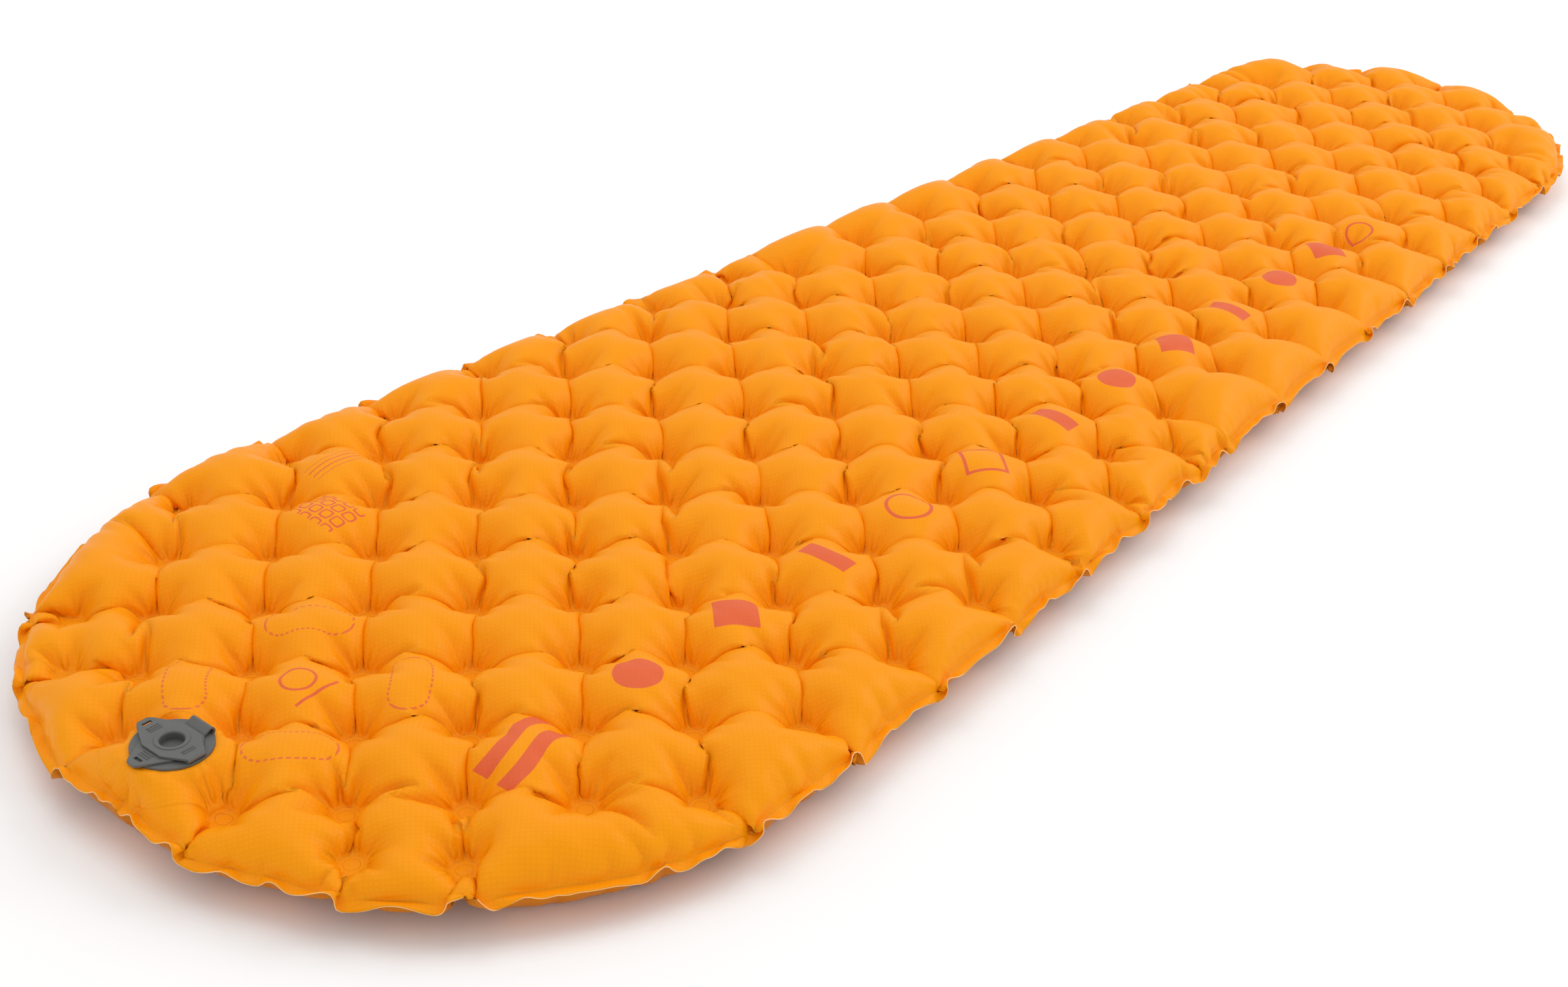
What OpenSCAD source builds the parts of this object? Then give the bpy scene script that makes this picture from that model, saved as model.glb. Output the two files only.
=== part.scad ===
// Inflatable sleeping pad: a tapered air mattress of round pillow cells, with a flat multi-purpose valve
// on the head end. Millimetres. X runs along the pad from head (-X) to foot (+X), Y runs across it,
// Z is up, and the origin is the centre of the area the pad rests on.

/* [Pad] */
// Length from the head end to the foot end
pad_length = 1830; // [1200:10:2100]
// Radius of the half-round head end, half the width there
head_radius = 279.5; // [200:0.5:350]
// Radius of the half-round foot end
foot_radius = 211; // [150:1:300]
// Height of the inflated pad
pad_thickness = 50; // [40:1:80]
// Thickness each coated fabric sheet is drawn at
sheet = 0.6; // [0.4:0.1:1]
// Width of the welded seam around the outline
seam_width = 6; // [5:0.5:15]
// Radius of the rounded long edge, above and below the seam
edge_radius = 16; // [10:1:20]

/* [Weld dots] */
// Distance between neighbouring columns of dots, half the distance between dots of one column
dot_pitch = 47; // [40:1:70]
// Distance from the head end to the first column
first_column = 44; // [30:1:60]
// Radius of each round weld, where the two sheets meet
dot_radius = 8; // [5:0.5:12]
// Radius of the hollow above and below a dot, at the pad's surface
hollow_radius = 16; // [12:0.5:20]
// Least distance from a dot to the outline
dot_margin = 30; // [25:1:40]
// Least distance from a dot to the valve's centre
valve_margin = 46; // [44:1:60]

/* [Valve] */
// Distance from the head end to the valve's centre
valve_inset = 48; // [46:1:60]
// Radius of the base plate welded onto the top sheet
base_radius = 23.5; // [20:0.5:24]
// Thickness of the base plate
base_plate = 1.6; // [1:0.1:2.5]
// Bore of the collar that the deflate plug closes
collar_bore = 11.7; // [10:0.1:13]
// Depth of the collar below the sheet
collar_depth = 9; // [7:0.5:12]
// Thickness of the two flaps
flap_plate = 1.4; // [1:0.1:2]
// Bore of the deflate plug that the inflate cap closes
inflate_bore = 8.3; // [7:0.1:9]
// Depth of the deflate plug below the sheet
plug_depth = 6.2; // [5:0.1:8]
// Distance from the valve's centre to the deflate flap's hinge line
deflate_hinge = 20.3; // [18:0.1:22]
// Distance from the valve's centre to the inflate cap's hinge line
inflate_hinge = 21.5; // [20:0.1:24]
// Travel of the fine-tune button when it's pressed
button_travel = 1.2; // [0.8:0.1:1.6]

/* [Hidden] */
$fn = 64;
cut = 1;                                   // how far a cutter runs past the face it opens
mid = pad_thickness / 2;                   // height at which the two sheets meet
head_x = head_radius - pad_length / 2;     // centre of the head's arc
foot_x = pad_length / 2 - foot_radius;     // centre of the foot's arc
arc_distance = foot_x - head_x;
head_steps = 28;                           // straight pieces that make up the head's arc
foot_steps = 24;
edge_steps = 5;                            // and the rounded edge
taper = asin((head_radius - foot_radius) / arc_distance);
side_length = arc_distance * cos(taper);   // straight edge between the two arcs
edge_band = seam_width + edge_radius;      // everything outside this band is flat
valve_x = valve_inset - pad_length / 2;

column_count = floor((pad_length - first_column) / dot_pitch) + 1;
row_reach = ceil(head_radius / (2 * dot_pitch));
end_margin = 16;                           // a dot nearer the outline than this is left out
end_columns = 2;                           // except in these first columns, where all are kept

batt_bottom = mid + 3;
batt_height = 3;
film_bottom = mid + 8;
film_height = 0.4;
layer_inset = 12;                          // the inner layers stop this far inside the outline
layer_gap = 0.4;                           // between an inner layer and the hollows it surrounds

running_gap = 0.1;                         // between flat faces that lie on each other
fit_gap = 0.3;                             // between a plug and its bore
collar_radius = collar_bore + 1.7;
flap_bottom = base_plate + running_gap;
flap_top = flap_bottom + flap_plate;
cap_bottom = flap_top + running_gap;
cap_top = cap_bottom + flap_plate;
tab_reach = 28;                            // from the valve's centre to the tip of a pull tab
tab_half = 3;
slot_inset = 5.4;                          // from a tab's tip to the middle of its finger slot
shoulder = 14;                             // half the width of each flap
strap_half = 8.5;                          // half the width of the deflate flap's strap
strap_height = 1.2;
strap_radius = 2.9;                        // outside of the strap's loop
strap_z = strap_radius + 0.05;
flap_end = 15.5;                           // where the deflate flap meets its strap
notch_x = 19.5;                            // where the base plate meets the strap
cap_neck = 6;                              // half the width of the inflate cap's hinge
seat_height = 1.2;
seat_radius = inflate_bore + 0.35;
seat_top = seat_height - plug_depth;
post_radius = 1.2;                         // shaft of the fine-tune button
post_gap = 0.1;
membrane_height = 0.6;
membrane_inset = 0.9;                      // from the plug's bore to the membrane's edge
plug_draft = 1.2;                          // how much narrower the deflate plug is at its lower end
cap_draft = 0.4;                           // and the inflate cap's plug
recess_radius = 7;                         // fingertip recess in the inflate cap
recess_floor = -0.6;
recess_skin = 1.2;
recess_roll = 1.5;                         // radius of the rolled edge around it
recess_steps = 5;
recess_rim = 3;                            // width of the raised ring around it
recess_lip = 0.4;                          // height of that ring
weld_ring = 1;                             // thickness of the ring under the fabric
bar_width = 0.8;                           // raised grip bars
bar_pitch = 1.8;
bar_length = 8;
bar_rise = 0.4;

fabric_colour = [1.0, 0.6, 0.2];
underside_colour = [0.9, 0.5, 0.12];
batt_colour = [0.93, 0.93, 0.9];
film_colour = [0.78, 0.8, 0.82];
valve_colour = [0.37, 0.37, 0.36];
membrane_colour = [0.75, 0.75, 0.72];

// ---- Outlines -------------------------------------------------------------------------------------------

function unit(v) = v / norm(v);

// How far point p lies inside the pad's outline, and the direction that leads further inside.
function along_side(p) = (p.x - head_x) * cos(taper) - abs(p.y) * sin(taper);
function depth(p) =
    along_side(p) < 0 ? head_radius - norm(p - [head_x, 0]) :
    along_side(p) > side_length ? foot_radius - norm(p - [foot_x, 0]) :
    head_radius - (p.x - head_x) * sin(taper) - abs(p.y) * cos(taper);
function inward(p) =
    along_side(p) < 0 ? unit([head_x, 0] - p) :
    along_side(p) > side_length ? unit([foot_x, 0] - p) :
    [-sin(taper), -sign(p.y) * cos(taper)];

// The dots make a diagonal grid. Those near the outline move in to a common distance from it, and those
// near the valve move away from it.
function off_outline(p) = p + inward(p) * max(0, dot_margin - depth(p));
function off_valve(p) =
    let (away = p - [valve_x, 0])
    norm(away) < valve_margin ? [valve_x, 0] + unit(away) * valve_margin : p;
function column_x(k) = first_column - pad_length / 2 + k * dot_pitch;
dots = [
    for (k = [0 : column_count - 1], j = [-row_reach : row_reach])
        let (p = [column_x(k), 2 * dot_pitch * j + (k % 2 == 0 ? dot_pitch : 0)])
        if (depth(p) >= (k < end_columns ? 0 : end_margin)) off_valve(off_outline(p))
];

// A closed outline with each corner replaced by an arc of radius r.
function corner_arc(a, b, c, r, steps = 4) =
    let (u = unit(a - b), v = unit(c - b), half = acos(u * v) / 2)
    let (centre = b + unit(u + v) * r / sin(half), turn = sign(v.x * u.y - v.y * u.x) * (180 - 2 * half))
    let (first = b + u * r / tan(half) - centre, start = atan2(first.y, first.x))
    [for (i = [0 : steps]) centre + r * [cos(start + turn * i / steps), sin(start + turn * i / steps)]];
function rounded(points, r) =
    let (n = len(points))
    [for (i = [0 : n - 1]) each corner_arc(points[(i + n - 1) % n], points[i], points[(i + 1) % n], r)];

// The given points and, in the opposite order, their mirror images about the X axis.
function mirrored(points) =
    concat(points, [for (i = [len(points) - 1 : -1 : 0]) [points[i].x, -points[i].y]]);
function swapped(points) = [for (p = points) [p.y, p.x]];

// The pad's outline, `inset` inside its edge: the head's arc and then the foot's.
function arc_points(x, r, from, to, steps) =
    [for (i = [0 : steps]) let (t = from + (to - from) * i / steps) [x + r * cos(t), r * sin(t)]];
function outline(inset) = concat(
    arc_points(head_x, head_radius - inset, 90 - taper, 270 + taper, head_steps),
    arc_points(foot_x, foot_radius - inset, taper - 90, 90 - taper, foot_steps)
);

// ---- Air mattress ---------------------------------------------------------------------------------------

// A solid whose side follows the outline through a list of [inset, height] steps, from bottom to top.
module outline_solid(steps) {
    around = head_steps + foot_steps + 2;
    top_ring = (len(steps) - 1) * around;
    polyhedron(
        points = [for (s = steps, p = outline(s[0])) [p.x, p.y, s[1]]],
        faces = concat(
            [[for (i = [0 : around - 1]) i]],
            [[for (i = [around - 1 : -1 : 0]) top_ring + i]],
            [for (ring = [0 : len(steps) - 2], i = [0 : around - 1])
                let (a = ring * around, next = (i + 1) % around)
                [a + around + i, a + around + next, a + next, a + i]]
        )
    );
}

// The rounded edge above the seam, with `skin` taken off the outside.
function edge_arc(skin) = [
    for (i = [0 : edge_steps])
        let (t = 90 * i / edge_steps, r = edge_radius - skin)
        [edge_band - r * cos(t), pad_thickness - edge_radius + r * sin(t)]
];

// The upper half of the mattress as a filled solid, with the flat seam around it.
module mattress_half() {
    outline_solid(concat([[0, mid], [0, mid + sheet], [seam_width, mid + sheet]], edge_arc(0)));
}

// The air space in it, carried down past the middle height so that it opens the underside.
module mattress_inside() {
    outline_solid(concat([[seam_width + sheet, mid - cut]], edge_arc(sheet)));
}

// Round hollows over the weld dots, each wider by `skin` and cut from `floor` above the middle height.
module hollows(skin, floor) {
    slope = (hollow_radius - dot_radius) / mid;
    height = mid + cut - floor;
    low = dot_radius + skin + slope * floor;
    for (p = dots)
        translate([p.x, p.y, mid + floor])
            cylinder(h = height, r1 = low, r2 = low + slope * height);
}

// Everything of the upper fabric: crown, hollows, weld dots and its half of the seam.
module quilted_sheet() {
    difference() {
        mattress_half();
        hollows(0, sheet);
        difference() {
            mattress_inside();
            hollows(sheet, -2 * cut);
        }
    }
}

module top_sheet() {
    color(fabric_colour)
        difference() {
            quilted_sheet();
            translate([valve_x, 0, pad_thickness - collar_depth])
                cylinder(h = collar_depth + cut, r = collar_radius + running_gap);
        }
}

module bottom_sheet() {
    color(underside_colour)
        translate([0, 0, pad_thickness])
            mirror([0, 0, 1])
                quilted_sheet();
}

// A flat layer inside the mattress, pierced where the weld dots pass through it.
module inner_layer(z, height) {
    hole = dot_radius + sheet + (hollow_radius - dot_radius) * (z + height - mid) / mid + layer_gap;
    difference() {
        translate([0, 0, z])
            linear_extrude(height)
                polygon(outline(layer_inset));
        for (p = dots)
            translate([p.x, p.y, z - cut])
                cylinder(h = height + 2 * cut, r = hole);
    }
}

module insulation_batt() {
    color(batt_colour)
        inner_layer(batt_bottom, batt_height);
}

module reflective_film() {
    color(film_colour)
        inner_layer(film_bottom, film_height);
}

// ---- Valve ----------------------------------------------------------------------------------------------
// Heights are measured from the top sheet's surface. The deflate flap hinges on the foot side and the
// inflate cap, which lies on top of it, hinges on the -Y side.

module at_valve() {
    translate([valve_x, 0, pad_thickness])
        children();
}

// Ring welded under the fabric, around the collar.
module valve_weld_flange() {
    color(valve_colour)
        at_valve()
            translate([0, 0, -sheet - weld_ring])
                difference() {
                    cylinder(h = weld_ring, r = base_radius);
                    translate([0, 0, -cut])
                        cylinder(h = weld_ring + 2 * cut, r = collar_radius + running_gap);
                }
}

// Base plate and collar, notched for the strap of the deflate flap.
module valve_base() {
    color(valve_colour)
        at_valve()
            difference() {
                union() {
                    cylinder(h = base_plate, r = base_radius);
                    translate([0, 0, -collar_depth])
                        cylinder(h = collar_depth + base_plate, r = collar_radius);
                }
                translate([0, 0, -collar_depth - cut])
                    cylinder(h = collar_depth + base_plate + 2 * cut, r = collar_bore);
                translate([notch_x, -strap_half - running_gap, -cut])
                    cube([base_radius, 2 * (strap_half + running_gap), base_plate + 2 * cut]);
            }
}

// Loop of flexible strap between the base plate and the deflate flap.
module deflate_strap() {
    inside = strap_radius - strap_height;
    color(valve_colour)
        at_valve()
            translate([0, strap_half, 0])
                rotate([90, 0, 0])
                    linear_extrude(2 * strap_half) {
                        intersection() {
                            translate([deflate_hinge, strap_z])
                                difference() {
                                    circle(strap_radius);
                                    circle(inside);
                                }
                            translate([deflate_hinge, 0])
                                square(2 * strap_z);
                        }
                        translate([notch_x, strap_z - strap_radius])
                            square([deflate_hinge - notch_x, strap_height]);
                        polygon([
                            [deflate_hinge, strap_z + inside],
                            [deflate_hinge, strap_z + strap_radius],
                            [flap_end, flap_top],
                            [flap_end, flap_bottom],
                        ]);
                    }
}

// Finger hole through a pull tab, the long way across it.
module tab_slot() {
    width = 2.2;
    translate([-width / 2, -tab_half, -cut])
        cube([width, 2 * tab_half, flap_plate + 2 * cut]);
}

// Raised bars side by side along X, sunk half a flap deep.
module grip_bars(count) {
    for (i = [0 : count - 1])
        translate([i * bar_pitch, -bar_length / 2, -flap_plate / 2])
            cube([bar_width, bar_length, flap_plate / 2 + bar_rise]);
}

deflate_waist = 11;                        // half the length of the deflate flap's straight sides
deflate_outline = rounded(mirrored([
    [-tab_reach, tab_half],
    [-tab_reach + 3, tab_half + 2.5],
    [-deflate_waist, shoulder],
    [deflate_waist, shoulder],
    [flap_end, strap_half],
]), 1.2);

// Flap whose wide plug closes the collar. A tongue on the -Y side carries the inflate cap's hinge.
module deflate_flap() {
    plug_top = flap_bottom + flap_plate / 2;
    plug_radius = collar_bore - fit_gap;
    tongue = inflate_hinge - shoulder;
    bars_x = slot_inset + 3 - tab_reach;
    color(valve_colour)
        at_valve()
            difference() {
                union() {
                    translate([0, 0, flap_bottom])
                        linear_extrude(flap_plate) {
                            polygon(deflate_outline);
                            translate([-cap_neck, -inflate_hinge])
                                square([2 * cap_neck, tongue + cut]);
                        }
                    translate([0, 0, -plug_depth])
                        cylinder(h = plug_depth + plug_top, r1 = plug_radius - plug_draft, r2 = plug_radius);
                    translate([bars_x, 0, flap_top])
                        grip_bars(3);
                }
                translate([0, 0, -plug_depth - cut])
                    cylinder(h = plug_depth + flap_top + 2 * cut, r = inflate_bore);
                translate([0, 0, -plug_depth - cut])
                    cylinder(h = seat_height + cut, r = seat_radius);
                translate([slot_inset - tab_reach, 0, flap_bottom])
                    tab_slot();
            }
}

// Spoked disc snapped into the end of the deflate plug, with a guide for the button's post.
module one_way_seat() {
    window = 60;
    hub = 2.6;
    rim = 6.9;
    color(valve_colour)
        at_valve()
            translate([0, 0, -plug_depth])
                difference() {
                    cylinder(h = seat_height, r = seat_radius - running_gap / 2);
                    translate([0, 0, -cut])
                        cylinder(h = seat_height + 2 * cut, r = post_radius + post_gap);
                    for (turn = [0 : 90 : 270])
                        translate([0, 0, -cut])
                            rotate([0, 0, turn])
                                rotate_extrude(start = -window / 2, angle = window)
                                    translate([hub, 0])
                                        square([rim - hub, seat_height + 2 * cut]);
                }
}

// Soft disc that lies against the seat from inside and lets air in but not out.
module one_way_membrane() {
    color(membrane_colour)
        at_valve()
            translate([0, 0, -plug_depth - running_gap - membrane_height])
                difference() {
                    cylinder(h = membrane_height, r = inflate_bore - membrane_inset);
                    translate([0, 0, -cut])
                        cylinder(h = membrane_height + 2 * cut, r = post_radius + post_gap / 2);
                }
}

// Button that pushes the membrane off its seat to let a little air out.
module fine_tune_button() {
    barb = 0.7;
    barb_rim = 0.8;
    head = 1;
    head_rim = 1;
    post_bottom = -plug_depth - running_gap - membrane_height;
    head_bottom = seat_top + button_travel + running_gap;
    color(valve_colour)
        at_valve() {
            translate([0, 0, head_bottom])
                cylinder(h = head, r = post_radius + head_rim);
            translate([0, 0, post_bottom])
                cylinder(h = head_bottom - post_bottom, r = post_radius);
            translate([0, 0, post_bottom - barb])
                cylinder(h = barb, r = post_radius + barb_rim);
        }
}

// Folded end that joins the inflate cap to the deflate flap.
module inflate_strap() {
    fold = (cap_top - flap_bottom) / 2;
    color(valve_colour)
        at_valve()
            translate([-cap_neck, -inflate_hinge, flap_bottom + fold])
                rotate([90, 0, 90])
                    linear_extrude(2 * cap_neck)
                        intersection() {
                            circle(fold);
                            translate([-2 * fold, -fold])
                                square(2 * fold);
                        }
}

inflate_waist = 8;                         // half the length of the inflate cap's straight sides
inflate_outline = rounded(swapped(mirrored([
    [-inflate_hinge, cap_neck],
    [-inflate_waist, shoulder],
    [inflate_waist, shoulder],
    [tab_reach - 4, tab_half + 3],
    [tab_reach - 1, tab_half + 0.5],
])), 1);

// Cutter for the fingertip recess, whose upper edge is rolled outwards.
module recess() {
    top = cap_top + recess_lip;
    rolled = [
        for (i = [0 : recess_steps])
            let (t = 90 * i / recess_steps)
            [recess_radius + recess_roll * (1 - cos(t)), top - recess_roll * (1 - sin(t))]
    ];
    rotate_extrude()
        polygon(concat(
            [[0, recess_floor], [recess_radius, recess_floor]],
            rolled,
            [[recess_radius + recess_roll, top + cut], [0, top + cut]]
        ));
}

// Cap whose plug closes the deflate flap, with a fingertip recess. It has grip bars on its tab and
// beside its hinge.
module inflate_cap() {
    plug_bottom = recess_floor - recess_skin;
    plug_height = cap_bottom - plug_bottom + recess_lip;
    plug_radius = inflate_bore - fit_gap;
    color(valve_colour)
        at_valve()
            difference() {
                union() {
                    translate([0, 0, cap_bottom])
                        linear_extrude(flap_plate)
                            polygon(inflate_outline);
                    translate([0, 0, cap_top - recess_lip])
                        cylinder(h = 2 * recess_lip, r = recess_radius + recess_rim);
                    translate([0, 0, plug_bottom])
                        cylinder(h = plug_height, r1 = plug_radius - cap_draft, r2 = plug_radius);
                    translate([0, tab_reach - slot_inset - 9, cap_top])
                        rotate([0, 0, 90])
                            grip_bars(3);
                    translate([0, -inflate_hinge + slot_inset, cap_top])
                        rotate([0, 0, 90])
                            grip_bars(2);
                }
                recess();
                translate([0, tab_reach - slot_inset, cap_bottom])
                    rotate([0, 0, 90])
                        tab_slot();
            }
}

top_sheet();
bottom_sheet();
insulation_batt();
reflective_film();
valve_weld_flange();
valve_base();
deflate_strap();
deflate_flap();
one_way_seat();
one_way_membrane();
fine_tune_button();
inflate_strap();
inflate_cap();
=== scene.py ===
"""Looks for the inflatable sleeping pad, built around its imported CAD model.

The two fabric sheets are one cloth simulation: a flat, slightly oversize cut that is welded at round dots and
along the edge, and blown up until it is taut. Everything is in metres, in the frame of the CAD model.
"""
import math

import bmesh
import bpy
import numpy as np
from mathutils import Matrix, Vector
from mathutils.geometry import delaunay_2d_cdt


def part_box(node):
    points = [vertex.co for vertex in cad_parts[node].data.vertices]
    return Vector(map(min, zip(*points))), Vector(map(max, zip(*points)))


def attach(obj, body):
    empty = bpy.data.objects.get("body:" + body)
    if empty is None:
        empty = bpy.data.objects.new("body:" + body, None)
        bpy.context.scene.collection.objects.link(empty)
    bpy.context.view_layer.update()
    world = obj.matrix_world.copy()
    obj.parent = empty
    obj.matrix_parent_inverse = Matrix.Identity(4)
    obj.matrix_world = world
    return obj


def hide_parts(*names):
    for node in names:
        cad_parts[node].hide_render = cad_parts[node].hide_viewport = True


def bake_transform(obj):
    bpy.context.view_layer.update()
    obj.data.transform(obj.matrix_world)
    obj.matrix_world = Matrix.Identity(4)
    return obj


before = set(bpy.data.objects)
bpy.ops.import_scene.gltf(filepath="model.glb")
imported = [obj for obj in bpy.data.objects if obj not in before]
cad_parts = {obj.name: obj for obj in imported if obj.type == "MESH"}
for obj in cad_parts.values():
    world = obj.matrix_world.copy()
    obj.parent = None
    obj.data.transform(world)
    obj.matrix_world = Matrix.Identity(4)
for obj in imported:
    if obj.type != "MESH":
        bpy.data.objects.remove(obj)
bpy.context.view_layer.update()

# ---- Driving dimensions ----------------------------------------------------------------------------------

(LOW_X, LOW_Y, LOW_Z), (HIGH_X, HIGH_Y, _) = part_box("bottom_sheet")
(_, _, _), (_, _, HIGH_Z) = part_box("top_sheet")
VALVE_LOW, VALVE_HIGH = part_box("valve_base")

FOOT_SHARE = 0.755      # radius of the foot's arc as a share of the head's
HEAD_RADIUS = (HIGH_Y - LOW_Y) / 2
FOOT_RADIUS = HEAD_RADIUS * FOOT_SHARE
MID = (LOW_Z + HIGH_Z) / 2
HALF_HEIGHT = (HIGH_Z - LOW_Z) / 2
HEAD_X = LOW_X + HEAD_RADIUS
FOOT_X = HIGH_X - FOOT_RADIUS
SIN_TAPER = (HEAD_RADIUS - FOOT_RADIUS) / (FOOT_X - HEAD_X)
COS_TAPER = math.sqrt(1 - SIN_TAPER ** 2)
VALVE_RADIUS = (VALVE_HIGH[1] - VALVE_LOW[1]) / 2
VALVE_X = VALVE_LOW[0] + VALVE_RADIUS

SEAM = 0.006            # width of the welded edge
DOT_PITCH = 0.047       # between neighbouring columns of weld dots
FIRST_COLUMN = 0.044    # from the head end to the first column
DOT_RADIUS = 0.008
DOT_MARGIN = 0.030      # least distance from a dot to the outline
VALVE_MARGIN = 0.046    # and to the valve's centre
END_MARGIN = 0.016      # a dot nearer the outline is left out
END_COLUMNS = 2         # except in these first columns
VALVE_FLAT = 0.006      # how far the cloth is level around the valve
TOUCH = 1e-4            # points nearer than this count as on a line


# ---- Outline and weld dots -------------------------------------------------------------------------------

def depth_and_inward(x, y):
    """How far points lie inside the outline, and the unit direction that leads further in."""
    along = (x - HEAD_X) * COS_TAPER - np.abs(y) * SIN_TAPER
    side = (FOOT_X - HEAD_X) * COS_TAPER
    head = np.hypot(x - HEAD_X, y)
    foot = np.hypot(x - FOOT_X, y)
    depth = HEAD_RADIUS - (x - HEAD_X) * SIN_TAPER - np.abs(y) * COS_TAPER
    in_x = np.full_like(x, -SIN_TAPER)
    in_y = -np.sign(y) * COS_TAPER
    at_head = along < 0
    at_foot = along > side
    depth = np.where(at_head, HEAD_RADIUS - head, np.where(at_foot, FOOT_RADIUS - foot, depth))
    in_x = np.where(at_head, (HEAD_X - x) / np.maximum(head, 1e-9), in_x)
    in_y = np.where(at_head, -y / np.maximum(head, 1e-9), in_y)
    in_x = np.where(at_foot, (FOOT_X - x) / np.maximum(foot, 1e-9), in_x)
    in_y = np.where(at_foot, -y / np.maximum(foot, 1e-9), in_y)
    return depth, in_x, in_y


def weld_dots():
    """Centres of the weld dots: a diagonal grid, kept clear of the outline and of the valve."""
    dots = []
    columns = int((HIGH_X - LOW_X - FIRST_COLUMN) / DOT_PITCH) + 1
    reach = math.ceil(HEAD_RADIUS / (2 * DOT_PITCH))
    for k in range(columns):
        for j in range(-reach, reach + 1):
            x = np.array([LOW_X + FIRST_COLUMN + k * DOT_PITCH])
            y = np.array([2 * DOT_PITCH * j + (DOT_PITCH if k % 2 == 0 else 0.0)])
            depth, in_x, in_y = (v[0] for v in depth_and_inward(x, y))
            if depth < (0 if k < END_COLUMNS else END_MARGIN):
                continue
            push = max(0.0, DOT_MARGIN - depth)
            dot = Vector((x[0] + in_x * push, y[0] + in_y * push))
            away = dot - Vector((VALVE_X, 0))
            if away.length < VALVE_MARGIN:
                dot = Vector((VALVE_X, 0)) + away.normalized() * VALVE_MARGIN
            dots.append((dot.x, dot.y))
    return np.array(dots)


def outline_points(inset, step):
    """Evenly spaced points around the outline, `inset` inside it."""
    taper = math.asin(SIN_TAPER)
    head_r = HEAD_RADIUS - inset
    foot_r = FOOT_RADIUS - inset
    side = (FOOT_X - HEAD_X) * COS_TAPER
    head_arc = head_r * (math.pi + 2 * taper)
    foot_arc = foot_r * (math.pi - 2 * taper)
    total = head_arc + foot_arc + 2 * side
    count = round(total / step)
    points = []
    for i in range(count):
        s = total * i / count
        if s < head_arc:
            t = math.pi / 2 - taper + s / head_r
            points.append((HEAD_X + head_r * math.cos(t), head_r * math.sin(t)))
        elif s < head_arc + side:
            t = 1.5 * math.pi + taper
            u = s - head_arc
            points.append((HEAD_X + head_r * math.cos(t) + u * COS_TAPER,
                           head_r * math.sin(t) + u * SIN_TAPER))
        elif s < head_arc + side + foot_arc:
            t = taper - math.pi / 2 + (s - head_arc - side) / foot_r
            points.append((FOOT_X + foot_r * math.cos(t), foot_r * math.sin(t)))
        else:
            t = math.pi / 2 - taper
            u = s - head_arc - side - foot_arc
            points.append((FOOT_X + foot_r * math.cos(t) - u * COS_TAPER,
                           foot_r * math.sin(t) + u * SIN_TAPER))
    return points


DOTS = weld_dots()

# ---- Cutting the cloth -----------------------------------------------------------------------------------

CELLS = 12              # mesh edges between neighbouring dots
STEP = DOT_PITCH * math.sqrt(2) / CELLS
RING_POINTS = 12        # mesh points around a dot's edge, and half as many halfway in
SEAM_GAP = 0.5          # mesh edges left free between the grid and the seam
DOT_GAP = 0.45          # and between the grid and a dot


def ring(centre, radius, count):
    """Evenly spaced points on a circle."""
    turns = [2 * math.pi * i / count for i in range(count)]
    return [(centre[0] + radius * math.cos(t), centre[1] + radius * math.sin(t)) for t in turns]


def nearest(points, targets, block=4000):
    """Distance from each point to the nearest target."""
    out = np.empty(len(points))
    for i in range(0, len(points), block):
        p = points[i:i + block]
        d = np.hypot(p[:, None, 0] - targets[None, :, 0], p[:, None, 1] - targets[None, :, 1])
        out[i:i + block] = d.min(1)
    return out


def flat_pattern():
    """Points and triangles of one flat sheet. The grid runs along the lines between the dots."""
    special = []
    for d in DOTS:
        special.append(tuple(d))
        special += ring(d, DOT_RADIUS / 2, RING_POINTS // 2)
        special += ring(d, DOT_RADIUS, RING_POINTS)
    for inset in (0.0, SEAM / 2, SEAM):
        special += outline_points(inset, STEP)
    special = np.array(special)

    diagonal = DOT_PITCH / CELLS
    reach = int((HIGH_X - LOW_X) / diagonal)
    u, v = np.meshgrid(np.arange(-reach, reach), np.arange(-reach, reach))
    even = (u + v) % 2 == 0
    x = LOW_X + FIRST_COLUMN + DOT_PITCH + u[even] * diagonal
    y = v[even] * diagonal
    keep = (np.abs(y) < HEAD_RADIUS) & (x > LOW_X) & (x < HIGH_X)
    x, y = x[keep], y[keep]
    depth, _, _ = depth_and_inward(x, y)
    inside = depth > SEAM + SEAM_GAP * STEP
    grid = np.column_stack([x[inside], y[inside]])
    grid = grid[nearest(grid, DOTS) > DOT_RADIUS + DOT_GAP * STEP]
    points = np.vstack([special, grid])

    result = delaunay_2d_cdt([Vector(p) for p in points], [], [], 0, 1e-6, False)
    points = np.array([tuple(p) for p in result[0]])
    faces = np.array([tuple(f) for f in result[2] if len(f) == 3])
    centre = points[faces].mean(1)
    depth, _, _ = depth_and_inward(centre[:, 0], centre[:, 1])
    faces = faces[depth > TOUCH]
    a, b, c = (points[faces[:, i]] for i in range(3))
    turn = (b[:, 0] - a[:, 0]) * (c[:, 1] - a[:, 1]) - (b[:, 1] - a[:, 1]) * (c[:, 0] - a[:, 0])
    faces[turn < 0] = faces[turn < 0][:, ::-1]
    return points, faces


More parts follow.
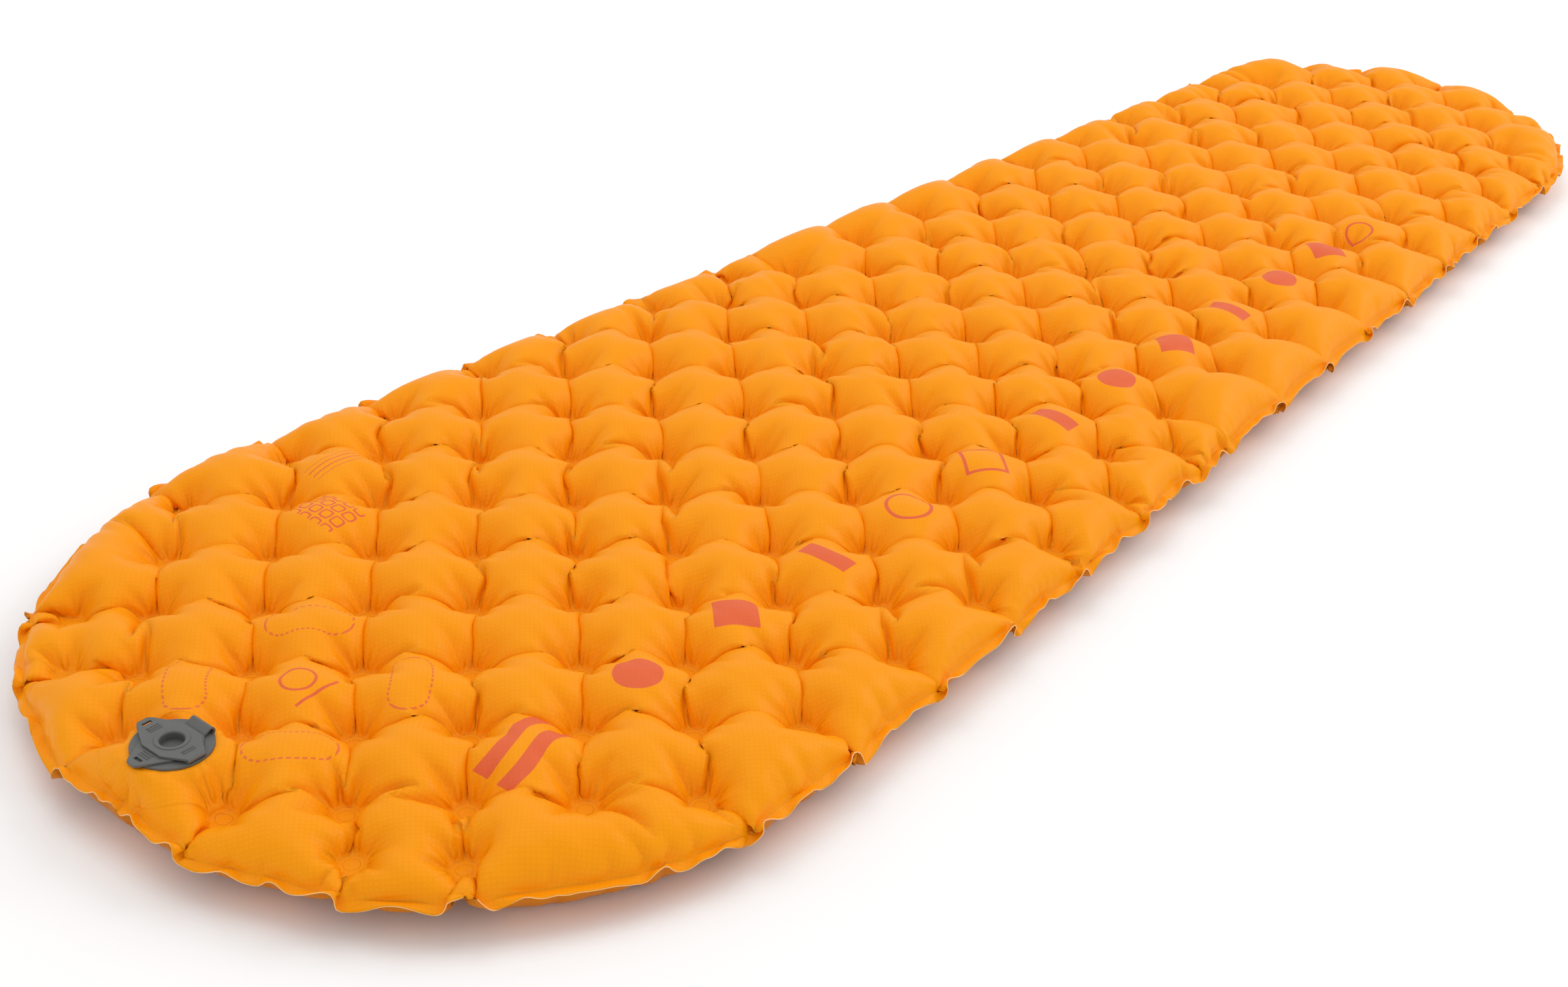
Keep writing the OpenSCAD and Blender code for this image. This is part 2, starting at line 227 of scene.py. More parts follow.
def both_sheets(points, faces):
    """Welds a top and a bottom copy of the pattern along the seam. Returns vertices, faces and which side."""
    depth, _, _ = depth_and_inward(points[:, 0], points[:, 1])
    centre = points[faces].mean(1)
    face_depth, _, _ = depth_and_inward(centre[:, 0], centre[:, 1])
    in_seam = face_depth < SEAM
    shared = depth < SEAM + TOUCH
    lower = np.arange(len(points))
    own = ~shared
    lower[own] = len(points) + np.arange(own.sum())
    vertices = np.vstack([points, points[own]])
    side = np.concatenate([np.where(shared, 0, 1), -np.ones(own.sum(), int)])
    upper_faces = faces
    lower_faces = lower[faces[~in_seam]][:, ::-1]
    return vertices, np.vstack([upper_faces, lower_faces]), side, len(upper_faces)


# ---- Blowing it up ---------------------------------------------------------------------------------------

PILLOW_SLACK = 1.12     # how much longer the flat cut is than the inflated pad, at the middle of a pillow
RIDGE_SLACK = 1.25      # the same along the ridges from dot to dot
SEAM_SLACK = 1.15       # and along the welded edge, which shrinks as it is heated
STRETCH = 0.26          # spring constants, for one step of time and a vertex of unit mass
DRAG = 0.94             # share of its speed that a vertex keeps each step
PRESSURE = 0.52         # for each metre of mesh edge
SEAM_HOLD = 0.0005      # keeps the stiff welded edge near its outline
COARSE = {"steps": 520, "squeeze": 0.12, "bend": 0.015}
FINE = {"steps": 170, "squeeze": 0.22, "bend": 0.007}
SEED = 7
RIPPLE = 20             # a mesh edge is this many times the unevenness at the start
NORMALS_EVERY = 4       # steps from one update of the directions that the air pushes in to the next
START_HEIGHT = 0.5      # of a pillow, as a share of its full height
START_DOT = 0.7         # share of a dot's pitch over which the start shape rises from it
START_EDGE = 0.03       # distance over which it rises from the seam
START_VALVE = 0.012     # and over which it turns level towards the valve


def start_shape(xy, side):
    """A shallow quilted start for the simulation, already level under the valve."""
    depth, _, _ = depth_and_inward(xy[:, 0], xy[:, 1])
    to_dot = nearest(xy, DOTS)
    rise = np.clip((to_dot - DOT_RADIUS) / (DOT_PITCH * START_DOT), 0, 1)
    edge = np.clip((depth - SEAM) / START_EDGE, 0, 1)
    height = START_HEIGHT * HALF_HEIGHT * np.sin(np.minimum(rise, edge) * math.pi / 2)
    to_valve = np.hypot(xy[:, 0] - VALVE_X, xy[:, 1])
    blend = np.clip((VALVE_RADIUS + VALVE_FLAT + START_VALVE - to_valve) / START_VALVE, 0, 1)
    height = np.where(side > 0, height * (1 - blend) + HALF_HEIGHT * blend, height)
    return height * side


def neighbour_table(faces, count):
    """Each vertex's neighbours in one padded table, with a mask of the places in use."""
    pairs = np.vstack([faces[:, [0, 1]], faces[:, [1, 2]], faces[:, [2, 0]]])
    pairs = np.unique(np.sort(pairs, 1), axis=0)
    both = np.vstack([pairs, pairs[:, ::-1]])
    both = both[np.lexsort((both[:, 1], both[:, 0]))]
    start = np.searchsorted(both[:, 0], np.arange(count))
    place = np.arange(len(both)) - start[both[:, 0]]
    table = np.repeat(np.arange(count)[:, None], place.max() + 1, 1)
    used = np.zeros(table.shape, bool)
    table[both[:, 0], place] = both[:, 1]
    used[both[:, 0], place] = True
    return table, used


def vertex_normals(x, faces):
    """Unit normals, as the sum of the normals of the faces around each vertex."""
    a, b, c = x[faces[:, 0]], x[faces[:, 1]], x[faces[:, 2]]
    n = np.cross(b - a, c - a)
    corners = faces.ravel()
    out = np.column_stack([np.bincount(corners, np.repeat(n[:, k], 3), len(x)) for k in range(3)])
    return (out / np.maximum(np.linalg.norm(out, axis=1), 1e-12)[:, None]).astype(x.dtype)


def slack_at(place):
    """How much longer the flat cut is at these places. The waves multiply to 1 on pillows and 0 on ridges."""
    wave_x = np.cos((place[..., 0] - LOW_X - FIRST_COLUMN) * math.pi / DOT_PITCH)
    wave_y = np.cos(place[..., 1] * math.pi / DOT_PITCH)
    return PILLOW_SLACK + (RIDGE_SLACK - PILLOW_SLACK) * np.clip(1 - wave_x * wave_y, 0, 1)


def settle(x, flat, faces, side, edge, steps, squeeze, bend):
    """Blows up the two welded sheets from the shape `x`, for mesh edges of length `edge`. The weld dots and
    the cloth at the valve stay where they are, and the lower sheet doesn't pass the ground."""
    rng = np.random.default_rng(SEED)
    x = x.astype(np.float32)
    x[:, 2] += side * rng.uniform(-1, 1, len(x)) * edge / RIPPLE
    table, used = neighbour_table(faces, len(x))
    plan = flat.astype(np.float32)
    in_seam = side == 0
    slack = slack_at((plan[table] + plan[:, None]) / 2)
    slack = np.where(in_seam[:, None] & in_seam[table], SEAM_SLACK, slack).astype(np.float32)
    rest = np.linalg.norm(plan[table] - plan[:, None], axis=2) * slack
    degree = used.sum(1)[:, None].astype(np.float32)

    to_valve = np.hypot(flat[:, 0] - VALVE_X, flat[:, 1])
    held = nearest(flat, DOTS) < DOT_RADIUS + TOUCH
    held |= (to_valve < VALVE_RADIUS + VALVE_FLAT) & (side > 0)
    free = (~held)[:, None].astype(np.float32)
    blown = ((side != 0) & ~held)[:, None] * np.float32(PRESSURE * edge ** 2)
    hold = in_seam[:, None] * np.float32(SEAM_HOLD)
    speed = np.zeros_like(x)
    push = 0
    for step in range(steps):
        apart = x[table] - x[:, None]
        length = np.sqrt(np.einsum("ijk,ijk->ij", apart, apart)) + 1e-9
        strain = np.where(used, 1 - rest / length, 0)
        strain = np.where(strain < 0, strain * squeeze, strain)
        force = STRETCH * np.einsum("ij,ijk->ik", strain, apart)
        if step % NORMALS_EVERY == 0:
            push = vertex_normals(x, faces) * blown
        bulge = np.einsum("ijk->ik", apart) / degree
        force += push - bend * (np.einsum("ijk->ik", bulge[table] * used[..., None]) / degree - bulge)
        force[:, :2] += (plan - x[:, :2]) * hold
        speed = (speed * DRAG + force) * free
        x += speed
        x[:, 2] = np.where(side > 0, np.maximum(x[:, 2], 0), x[:, 2])
        x[:, 2] = np.where(side < 0, np.clip(x[:, 2], -HALF_HEIGHT, 0), x[:, 2])
    return x.astype(float)


def refine(x, flat, faces, side):
    """Splits each triangle in four. The four that come from a face follow one another."""
    pairs = np.sort(np.vstack([faces[:, [0, 1]], faces[:, [1, 2]], faces[:, [2, 0]]]), 1)
    edges, place = np.unique(pairs, axis=0, return_inverse=True)
    ab, bc, ca = place.reshape(3, -1) + len(x)
    a, b, c = faces.T
    split = np.stack([np.column_stack(f) for f in ((a, ab, ca), (ab, b, bc), (ca, bc, c), (ab, bc, ca))], 1)
    sides = np.sign(side[edges[:, 0]] + side[edges[:, 1]])
    return (np.vstack([x, x[edges].mean(1)]), np.vstack([flat, flat[edges].mean(1)]),
            split.reshape(-1, 3), np.concatenate([side, sides]))


# ---- Materials -------------------------------------------------------------------------------------------

class Term:
    """A number in a material's node tree, which adds, multiplies and compares like any other number."""

    def __init__(self, tree, socket):
        self.tree = tree
        self.socket = socket

    def join(self, operation, *others):
        node = self.tree.nodes.new("ShaderNodeMath")
        node.operation = operation
        for place, value in enumerate((self, *others)):
            if isinstance(value, Term):
                self.tree.links.new(value.socket, node.inputs[place])
            else:
                node.inputs[place].default_value = value
        return Term(self.tree, node.outputs[0])

    def __add__(self, other):
        return self.join("ADD", other)

    def __sub__(self, other):
        return self.join("SUBTRACT", other)

    def __mul__(self, other):
        return self.join("MULTIPLY", other)

    def __truediv__(self, other):
        return self.join("DIVIDE", other)

    def __abs__(self):
        return self.join("ABSOLUTE")

    def most(self, other):
        return self.join("MAXIMUM", other)

    def floor(self):
        return self.join("FLOOR")

    def part(self):
        return self.join("FRACT")

    def sine(self):
        return self.join("SINE")

    def below(self, limit):
        return self.join("LESS_THAN", limit)

    def above(self, limit):
        return self.join("GREATER_THAN", limit)

    def reach(self, other):
        """The length of the vector of these two numbers."""
        return (self * self + other * other).join("SQRT")

    def rise(self, start, end):
        """0 before `start`, 1 after `end`, and smooth between them."""
        node = self.tree.nodes.new("ShaderNodeMapRange")
        node.interpolation_type = "SMOOTHSTEP"
        self.tree.links.new(self.socket, node.inputs["Value"])
        node.inputs["From Min"].default_value = start
        node.inputs["From Max"].default_value = end
        return Term(self.tree, node.outputs[0])


class Look:
    """A material and short ways to build its node tree."""

    def __init__(self, name):
        self.material = bpy.data.materials.new(name)
        self.material.use_nodes = True
        self.tree = self.material.node_tree
        self.shader = self.tree.nodes["Principled BSDF"]

    def add(self, kind, output=0, inputs=None, **settings):
        node = self.tree.nodes.new(kind)
        for key, value in settings.items():
            setattr(node, key, value)
        for key, value in (inputs or {}).items():
            self.put(node.inputs[key], value)
        return node.outputs[output]

    def put(self, socket, value):
        if isinstance(value, Term):
            value = value.socket
        if isinstance(value, bpy.types.NodeSocket):
            self.tree.links.new(value, socket)
        else:
            socket.default_value = value

    def surface(self, **sockets):
        for key, value in sockets.items():
            self.put(self.shader.inputs[key.replace("_", " ")], value)

    def uv(self, name):
        """Both coordinates of a UV map, and the socket they come from."""
        socket = self.add("ShaderNodeUVMap", uv_map=name)
        split = self.tree.nodes.new("ShaderNodeSeparateXYZ")
        self.tree.links.new(socket, split.inputs[0])
        return Term(self.tree, split.outputs[0]), Term(self.tree, split.outputs[1]), socket

    def noise(self, place, scale, detail=2.0):
        return Term(self.tree, self.add("ShaderNodeTexNoise", "Fac",
                                        {"Vector": place, "Scale": scale, "Detail": detail}))

    def mix(self, share, a, b):
        node = self.tree.nodes.new("ShaderNodeMix")
        node.data_type = "RGBA"
        for key, value in zip((0, 6, 7), (share, a, b)):
            self.put(node.inputs[key], value)
        return node.outputs[2]

    def bump(self, height, depth, normal=None):
        """Relief where `height` 0 to 1 stands for `depth` metres."""
        inputs = {"Height": height, "Distance": depth}
        if normal is not None:
            inputs["Normal"] = normal
        return self.add("ShaderNodeBump", inputs=inputs)


def srgb(r, g, b):
    """A colour as it's seen on a screen, 0 to 255, in the linear values that shaders use."""
    linear = (c / 255 / 12.92 if c < 11 else ((c / 255 + 0.055) / 1.055) ** 2.4 for c in (r, g, b))
    return (*linear, 1.0)


def shade(colour, share):
    return tuple(c * share for c in colour[:3]) + (1.0,)


CELL = 2 * DOT_PITCH                 # between neighbouring pillows in a row
FIRST_PILLOW = LOW_X + FIRST_COLUMN  # centre of the first one in the rows beside the middle
PRINT_ROW = 1.5 * CELL               # distance from the pad's middle line to the row of marks
PRINT_WIDTH = 0.0011                 # half the line of an outlined mark

DISC_RADIUS = 0.0135
BAR_HALF_WIDTH = 0.0065
BAR_HALF_LENGTH = 0.016
DIAMOND_SIZE = 0.0125
OUTLINED_MARKS = 3.5                 # the two marks beside this place in the row are outlines
MIDDLE_MARK = 5                      # place of the row's middle mark
MARK_REACH = 5.5                     # and how far the row goes to both sides of it

STRIPE_APART = 0.0085                # from the middle of the wavy pair to the middle of a stripe
STRIPE_HALF = 0.0045
STRIPE_REACH = 0.027
WAVES = 90                           # radians for each metre
WAVE_HEIGHT = 0.004

TILE_PITCH = 0.009
TILE_SIZE = 0.0033
TILE_LINE = 0.0006
TILES_WIDTH = 0.0135
TILES_LENGTH = 0.018
LINE_PITCH = 0.0045
LINES_WIDTH = 0.0068

RING_RADIUS = 0.009
RING_LINE = 0.0008                   # half the width of its line and of the straight line beside it
RULE_PLACE = 0.014
RULE_HALF = 0.014
FOOT_RING_CELL = 13.3
FOOT_RING_RADIUS = 0.011
FOOT_RING_LINE = 0.001


def marks(x, y):
    """A row of big plain marks, one to a pillow: discs, bars and diamonds, of which some are outlines."""
    along = x - (FIRST_PILLOW + 2.5 * CELL)
    index = (along / CELL + 0.5).floor()
    u = along - index * CELL
    v = y + PRINT_ROW
    kind = (index / 3).part()
    disc = u.reach(v) - DISC_RADIUS
    bar = (abs(u) - BAR_HALF_WIDTH).most(abs(v) - BAR_HALF_LENGTH)
    diamond = (abs(u) + abs(v)) * 0.7 - DIAMOND_SIZE
    edge = disc * kind.below(0.2) + bar * kind.above(0.5) + diamond * (kind.above(0.2) * kind.below(0.5))
    outline = abs(index - OUTLINED_MARKS).below(1)
    solid = edge.below(0) * (outline * -1 + 1)
    drawn = solid + abs(edge).below(PRINT_WIDTH) * outline
    return drawn * abs(index - MIDDLE_MARK).below(MARK_REACH)


def waves(x, y):
    """Two plain wavy stripes on one pillow."""
    u = x - (FIRST_PILLOW + 1.5 * CELL)
    v = y + PRINT_ROW
    curve = v - (u * WAVES).sine() * WAVE_HEIGHT
    stripe = (abs(abs(curve) - STRIPE_APART) - STRIPE_HALF).below(0)
    return stripe * abs(u).below(STRIPE_REACH)


def tiles(x, y):
    """A small block of rounded squares beside three short lines."""
    u = x - (FIRST_PILLOW + 2.5 * CELL)
    v = y - PRINT_ROW
    in_u = abs((u / TILE_PITCH).part() - 0.5) * TILE_PITCH
    in_v = abs((v / TILE_PITCH).part() - 0.5) * TILE_PITCH
    edge = (in_u.most(in_v) * 0.6 + in_u.reach(in_v) * 0.4) - TILE_SIZE
    block = abs(edge).below(TILE_LINE) * (abs(u).below(TILES_WIDTH) * abs(v).below(TILES_LENGTH))
    across = x - (FIRST_PILLOW + 3 * CELL)
    along = y - 2 * CELL
    lines = abs((along / LINE_PITCH).part() - 0.5).below(0.1)
    return block.most(lines * (abs(across).below(TILES_LENGTH) * abs(along).below(LINES_WIDTH)))


def rings(x, y):
    """Two small plain rings: one with a line beside it between the patch outlines, one near the foot."""
    middle = x - (FIRST_PILLOW + CELL)
    foot = x - (FIRST_PILLOW + FOOT_RING_CELL * CELL)
    one = abs(middle.reach(y) - RING_RADIUS).below(RING_LINE)
    line = abs(y + RULE_PLACE).below(RING_LINE) * abs(middle).below(RULE_HALF)
    two = abs(foot.reach(y + PRINT_ROW) - FOOT_RING_RADIUS).below(FOOT_RING_LINE)
    return one.most(line).most(two)


BEAN_RING = 0.066       # distance of the beans from the middle of the pillow
BEAN_HALF = 0.0125      # half the straight part of a bean
BEAN_RADIUS = 0.0105    # half its width
BEAN_LINE = 0.0006      # half the width of its line
DASH_TURN = 20          # dashes for each radian around the pillow
DASH_OUT = 80           # and for each metre away from its middle
DASH_SHARE = 0.62       # part of a dash that is drawn


def patch_outlines(x, y):
    """Four dashed bean outlines around one pillow, where the glued filling is held."""
    u = x - (FIRST_PILLOW + CELL)
    radius = u.reach(y)
    turn = y.join("ARCTAN2", u) / (math.pi / 2)
    corner = (turn.part() - 0.5) * (math.pi / 2)
    along = (abs(corner) * BEAN_RING - BEAN_HALF).most(0)
    edge = along.reach(radius - BEAN_RING) - BEAN_RADIUS
    dashes = (corner * DASH_TURN + radius * DASH_OUT).part().below(DASH_SHARE)
    return abs(edge).below(BEAN_LINE) * dashes


CORD_SPACING = 0.0036   # between the thick threads of the ripstop
THREADS = 5400          # radians of the fine weave for each metre
CRUMPLE_DEPTH = 0.0011
PLEAT_DEPTH = 0.0005
WEAVE_DEPTH = 0.00009
DOT_DEPTH = 0.0004
COLLAR_DEPTH = 0.00035
COLLAR_INNER = (0.0385, 0.0395)     # radii between which the ring around the valve rises
COLLAR_OUTER = (0.0400, 0.0415)     # and between which it falls again
WIDE_PLEATS = 9                     # around a dot, as are the narrow ones
NARROW_PLEATS = 17


def ripstop(name, colour, deep, printed):
    """Coated ripstop cloth. Its weave follows the flat cut, and fine pleats run out from each weld dot."""
    m = Look(name)
    x, y, place = m.uv("cut")
    dot_x, dot_y, _ = m.uv("dot")
    cord = ((x + y) / CORD_SPACING).part().below(0.2).most(((x - y) / CORD_SPACING).part().below(0.2))
    thread = ((x + y) * THREADS).sine() * ((x - y) * THREADS).sine()
    cloud = m.noise(place, 11.0, 3.0)
    crumple = m.noise(place, 55.0, 4.0)

    from_centre = dot_x.reach(dot_y)
    step = from_centre.rise(DOT_RADIUS * 0.56, DOT_RADIUS * 0.64)
    turn = dot_y.join("ARCTAN2", dot_x)
    outside = from_centre.rise(DOT_RADIUS, DOT_RADIUS * 1.4)
    fade = from_centre.rise(DOT_RADIUS * 1.6, DOT_RADIUS * 3.6) * -1 + 1
    wide = (turn * WIDE_PLEATS + cloud * 14).sine()
    pleats = (wide + (turn * NARROW_PLEATS + crumple * 8).sine() * 0.5) * outside * fade
    from_valve = (x - VALVE_X).reach(y)
    collar = from_valve.rise(*COLLAR_INNER) * (from_valve.rise(*COLLAR_OUTER) * -1 + 1)

    relief = m.bump(crumple, CRUMPLE_DEPTH)
    relief = m.bump(pleats, PLEAT_DEPTH, relief)
    relief = m.bump(cord * 0.7 + thread * 0.15, WEAVE_DEPTH, relief)
    relief = m.bump(step * from_centre.below(DOT_RADIUS), DOT_DEPTH, relief)
    relief = m.bump(collar, COLLAR_DEPTH, relief)
    base = m.mix(cloud * 0.7 + cord * 0.16, colour, deep)
    base = m.mix(from_centre.below(DOT_RADIUS) * 0.35, base, shade(colour, 0.93))
    if printed:
        ink = marks(x, y).most(waves(x, y)).most(tiles(x, y)).most(rings(x, y))
        base = m.mix(ink * 0.86, base, PRINT_INK)
        base = m.mix(patch_outlines(x, y) * 0.7, base, PRINT_INK)
    m.surface(Base_Color=base, Roughness=cloud * 0.08 + 0.38, Specular_IOR_Level=0.11, Normal=relief)
    return m.material


def moulded(name, colour, roughness):
    """Satin moulded plastic with a fine grain and softened edges."""
    m = Look(name)
    place = m.add("ShaderNodeTexCoord", "Object")
    cloud = m.noise(place, 90.0)
    soft = m.add("ShaderNodeBevel", inputs={"Radius": 0.0006}, samples=4)
    m.surface(Base_Color=m.mix(cloud, shade(colour, 0.85), colour), Roughness=roughness,
              Normal=m.bump(m.noise(place, 2600.0, 3.0), 0.00006, soft))
    return m.material


def plain(name, colour, roughness, metallic=0.0):
    """A surface of one colour with a slight cloud in it."""
    m = Look(name)
    place = m.add("ShaderNodeTexCoord", "Object")
    m.surface(Base_Color=m.mix(m.noise(place, 40.0, 3.0), shade(colour, 0.88), colour),
              Roughness=roughness, Metallic=metallic)
    return m.material


PRINT_INK = srgb(226, 92, 66)
TOP_CLOTH = ripstop("top_cloth", srgb(253, 158, 8), srgb(248, 150, 3), printed=True)
# The under cloth is a darker orange than the top: partly the fabric's own tone, partly painted shade of the
# underside, which lies in shadow.
UNDER_CLOTH_DARK_TONE_AND_PAINTED_SHADE = ripstop("under_cloth_dark_tone_and_painted_shade", srgb(214, 126, 14), srgb(200, 116, 10), printed=False)
CUT_EDGE = plain("cut_edge", srgb(255, 198, 130), 0.6)
VALVE = moulded("valve_moulding", srgb(98, 99, 96), 0.52)
MEMBRANE = moulded("membrane_rubber", srgb(190, 190, 184), 0.4)
BATT = plain("batt_fibre", srgb(240, 240, 234), 0.9)
FILM = plain("metallised_film", srgb(205, 208, 212), 0.25, 0.9)


# ---- The mattress ----------------------------------------------------------------------------------------

WELD_THICKNESS = 0.0006
VALVE_HOLE = 0.75       # radius of the hole in the upper sheet, as a share of the valve's
FILLING_MARGIN = 0.03   # from the filling to the outline
BATT_SPAN = (0.3, 0.6)  # shares of the space between the sheets
FILM_SPAN = (0.64, 0.655)


def make_mesh(name, vertices, faces, cut, materials, face_materials=None):
    """A smooth mesh of these triangles. Its UV maps hold, in metres, each corner's place on the flat
    cloth and its offset from the weld dot nearest to the triangle."""
    used, faces = np.unique(faces, return_inverse=True)
    faces = faces.reshape(-1, 3)
    cut = cut[used]
    mesh = bpy.data.meshes.new(name)
    mesh.from_pydata(vertices[used].tolist(), [], faces.tolist())
    corners = cut[faces]
    for layer, place in (("cut", corners), ("dot", corners - nearest_dot(corners.mean(1))[:, None])):
        uv = mesh.uv_layers.new(name=layer)
        uv.data.foreach_set("uv", place.astype(np.float32).ravel())
    mesh.polygons.foreach_set("use_smooth", np.ones(len(faces), bool))
    for material in materials:
        mesh.materials.append(material)
    if face_materials is not None:
        mesh.polygons.foreach_set("material_index", face_materials.astype(np.int32))
    obj = bpy.data.objects.new(name, mesh)
    bpy.context.scene.collection.objects.link(obj)
    return obj


def nearest_dot(places, block=4000):
    """The centre of the weld dot nearest to each place."""
    centres = np.empty_like(places)
    for i in range(0, len(places), block):
        apart = places[i:i + block, None] - DOTS[None]
        centres[i:i + block] = DOTS[np.hypot(apart[..., 0], apart[..., 1]).argmin(1)]
    return centres


def rim_edges(faces):
    """The directed edges that only one of these triangles has."""
    edges = np.vstack([faces[:, [0, 1]], faces[:, [1, 2]], faces[:, [2, 0]]])
    key = edges.min(1).astype(np.int64) * (edges.max() + 1) + edges.max(1)
    _, first, times = np.unique(key, return_index=True, return_counts=True)
    return edges[first[times == 1]]


def wall(edges, shift):
    """Triangles from each edge to its copy, `shift` further along the list of vertices."""
    a, b = edges.T
    return np.vstack([np.column_stack([b, a, a + shift]), np.column_stack([b, a + shift, b + shift])])


def sheet_pieces(shape, flat, faces, side, upper_count):
    """The upper sheet, with the cut edge of the seam, and the lower sheet."""
    upper = faces[:upper_count]
    lower = faces[upper_count:]
    middle = flat[upper].mean(1)
    upper = upper[np.hypot(middle[:, 0] - VALVE_X, middle[:, 1]) > VALVE_RADIUS * VALVE_HOLE]
    seam = upper[(side[upper] == 0).all(1)]
    in_dot = nearest(flat, DOTS) < DOT_RADIUS + TOUCH
    lift = vertex_normals(shape, upper) * (side == 0)[:, None]
    lift[in_dot] = np.column_stack([np.zeros((in_dot.sum(), 2)), side[in_dot]])
    over = shape + lift * WELD_THICKNESS / 2
    under = shape + lift * WELD_THICKNESS / 2 * np.where(side == 0, -1, 1)[:, None]
    count = len(shape)
    edge = rim_edges(upper)
    rim = wall(edge[(side[edge] == 0).all(1)], count)
    top = make_mesh("top_sheet_cloth", np.vstack([over, under]), np.vstack([upper, rim]),
                    np.vstack([flat, flat]), [TOP_CLOTH, CUT_EDGE],
                    np.repeat([0, 1], [len(upper), len(rim)]))
    bottom = make_mesh("bottom_sheet_cloth", under, np.vstack([lower, seam[:, ::-1]]), flat, [UNDER_CLOTH_DARK_TONE_AND_PAINTED_SHADE])
    return top, bottom


def filling(name, low, high, material):
    """A layer of the filling, between two shares of the space from the lower sheet to the upper one."""
    is_own = side_coarse[:len(points)] > 0
    partner = np.arange(len(points))
    partner[is_own] = len(points) + np.arange(is_own.sum())
    top = coarse[:len(points)]
    bottom = coarse[partner]
    depth, _, _ = depth_and_inward(points[:, 0], points[:, 1])
    clear = (nearest(points, DOTS) > DOT_RADIUS * 2) & (depth > FILLING_MARGIN)
    kept = pattern_faces[clear[pattern_faces].all(1)]
    over = bottom + (top - bottom) * high
    under = bottom + (top - bottom) * low
    count = len(points)
    return make_mesh(name, np.vstack([over, under]),
                     np.vstack([kept, kept[:, ::-1] + count, wall(rim_edges(kept), count)]),
                     np.vstack([points, points]), [material])


points, pattern_faces = flat_pattern()
flat, faces, side, upper_count = both_sheets(points, pattern_faces)
side_coarse = side
coarse = np.column_stack([flat, start_shape(flat, side)])
coarse = settle(coarse, flat, faces, side, STEP, **COARSE)
shape, flat, faces, side = refine(coarse, flat, faces, side)
shape = settle(shape, flat, faces, side, STEP / 2, **FINE)
upper_count *= 4
coarse = coarse + (0, 0, MID)
shape = shape + (0, 0, MID)

top_piece, bottom_piece = sheet_pieces(shape, flat, faces, side, upper_count)
batt_piece = filling("insulation_batt_soft", *BATT_SPAN, BATT)
film_piece = filling("reflective_film_soft", *FILM_SPAN, FILM)
for piece, node, slot in ((top_piece, "top_sheet", "fabric"),
                          (bottom_piece, "bottom_sheet", "underside_fabric"),
                          (batt_piece, "insulation_batt", "batt"),
                          (film_piece, "reflective_film", "film")):
    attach(piece, "pad")
    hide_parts(node)

# ---- Valve and its straps --------------------------------------------------------------------------------

NODE_MATERIALS = {
    "insulation_batt": BATT, "reflective_film": FILM, "one_way_membrane": MEMBRANE,
    "valve_weld_flange": VALVE, "valve_base": VALVE, "deflate_strap": VALVE, "deflate_flap": VALVE,
    "one_way_seat": VALVE, "fine_tune_button": VALVE, "inflate_strap": VALVE, "inflate_cap": VALVE,
}
for name, material in NODE_MATERIALS.items():
    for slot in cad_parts[name].material_slots:
        slot.material = material

STRAP_WELD = 1e-6       # vertices of a strap nearer than this are joined
STRAP_EDGE = 0.0005     # longest mesh edge in a strap
STRAP_CUTS = 5          # most times that an edge is halved


def bending_strap(node):
    """A copy of a CAD strap, its doubled vertices joined and its mesh split into short triangles, that takes
    the place of the hidden CAD part."""
    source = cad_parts[node]
    mesh = source.data.copy()
    mesh.transform(source.matrix_world)
    strap = bpy.data.objects.new(node + "_soft", mesh)
    bpy.context.scene.collection.objects.link(strap)
    work = bmesh.new()
    work.from_mesh(mesh)
    bmesh.ops.remove_doubles(work, verts=work.verts, dist=STRAP_WELD)
    for _ in range(STRAP_CUTS):
        long = [e for e in work.edges if e.calc_length() > STRAP_EDGE]
        bmesh.ops.subdivide_edges(work, edges=long, cuts=1)
        bmesh.ops.triangulate(work, faces=work.faces)
    work.to_mesh(mesh)
    work.free()
    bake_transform(strap)
    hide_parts(node)


bending_strap("deflate_strap")
bending_strap("inflate_strap")

# ---- Studio ----------------------------------------------------------------------------------------------

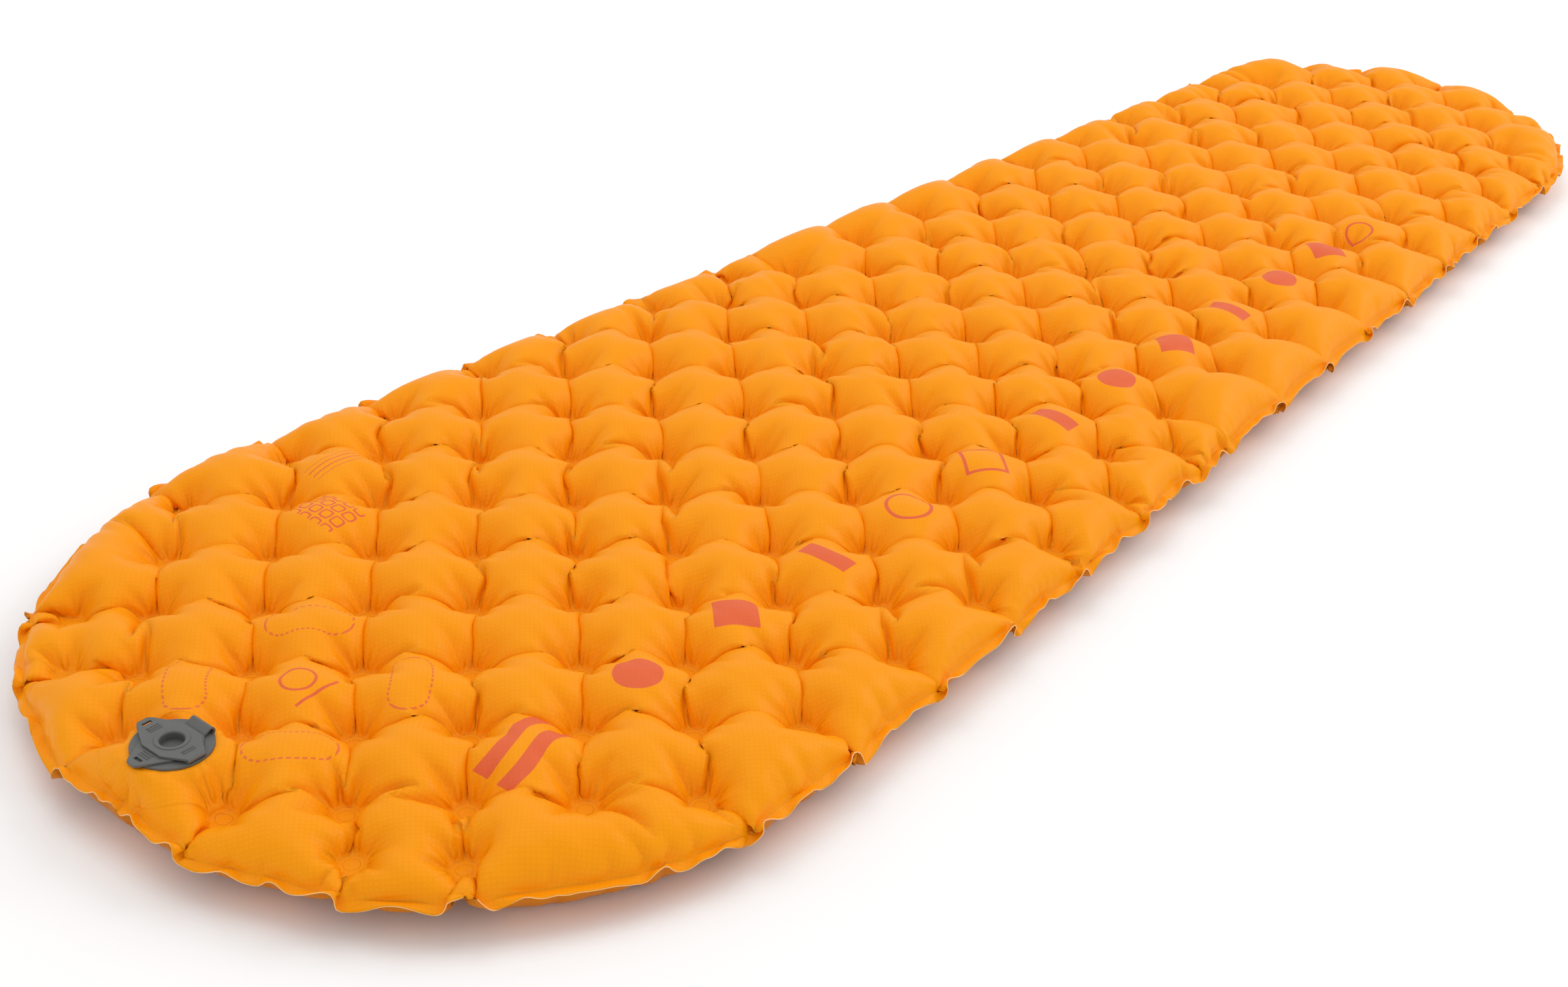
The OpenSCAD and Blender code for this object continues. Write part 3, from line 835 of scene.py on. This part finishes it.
CAMERA_AT = (-1.417, -0.836, 0.773)
CAMERA_TOWARDS = (0.7045, 0.5105, -0.4931)
CAMERA_UP = (0.356, 0.347, 0.868)
CAMERA_LENS = 47.83
CAMERA_SHIFT = (-0.0247, 0.0002)
SENSOR_WIDTH = 36
FLOOR_REACH = 12
SKY_STRENGTH = 0.8


def look(obj, place, towards, up=(0, 0, 1)):
    """Puts the object at a place, so that its -Z axis points along `towards`."""
    back = -Vector(towards).normalized()
    right = Vector(up).cross(back).normalized()
    turn = Matrix((right, back.cross(right), back)).transposed()
    obj.matrix_world = Matrix.Translation(place) @ turn.to_4x4()


def camera():
    data = bpy.data.cameras.new("camera")
    data.lens = CAMERA_LENS
    data.sensor_width = SENSOR_WIDTH
    data.shift_x, data.shift_y = CAMERA_SHIFT
    obj = bpy.data.objects.new("camera", data)
    bpy.context.scene.collection.objects.link(obj)
    look(obj, CAMERA_AT, CAMERA_TOWARDS, CAMERA_UP)
    bpy.context.scene.camera = obj


def softbox(name, place, target, size, power):
    """A round area light that faces its target."""
    data = bpy.data.lights.new(name, "AREA")
    data.shape = "DISK"
    data.size = size
    data.energy = power
    obj = bpy.data.objects.new(name, data)
    bpy.context.scene.collection.objects.link(obj)
    look(obj, place, Vector(target) - Vector(place))


def floor():
    """White ground under the pad, at height 0."""
    reach = FLOOR_REACH
    corners = [(-reach, -reach, 0), (reach, -reach, 0), (reach, reach, 0), (-reach, reach, 0)]
    mesh = bpy.data.meshes.new("floor")
    mesh.from_pydata(corners, [], [(0, 1, 2, 3)])
    m = Look("floor_white")
    m.surface(Base_Color=srgb(255, 255, 255), Roughness=0.9)
    mesh.materials.append(m.material)
    obj = bpy.data.objects.new("floor", mesh)
    bpy.context.scene.collection.objects.link(obj)


def sky(strength):
    world = bpy.data.worlds.new("studio")
    world.use_nodes = True
    background = world.node_tree.nodes["Background"]
    background.inputs["Color"].default_value = (1, 1, 1, 1)
    background.inputs["Strength"].default_value = strength
    bpy.context.scene.world = world


camera()
floor()
sky(SKY_STRENGTH)
softbox("key", place=(2.6, -1.4, 2.6), target=(0, 0, 0), size=2.4, power=38)
softbox("overhead", place=(-0.4, 0.8, 3.0), target=(-0.2, 0, 0), size=2.4, power=15)
bpy.context.scene.view_settings.view_transform = "Standard"
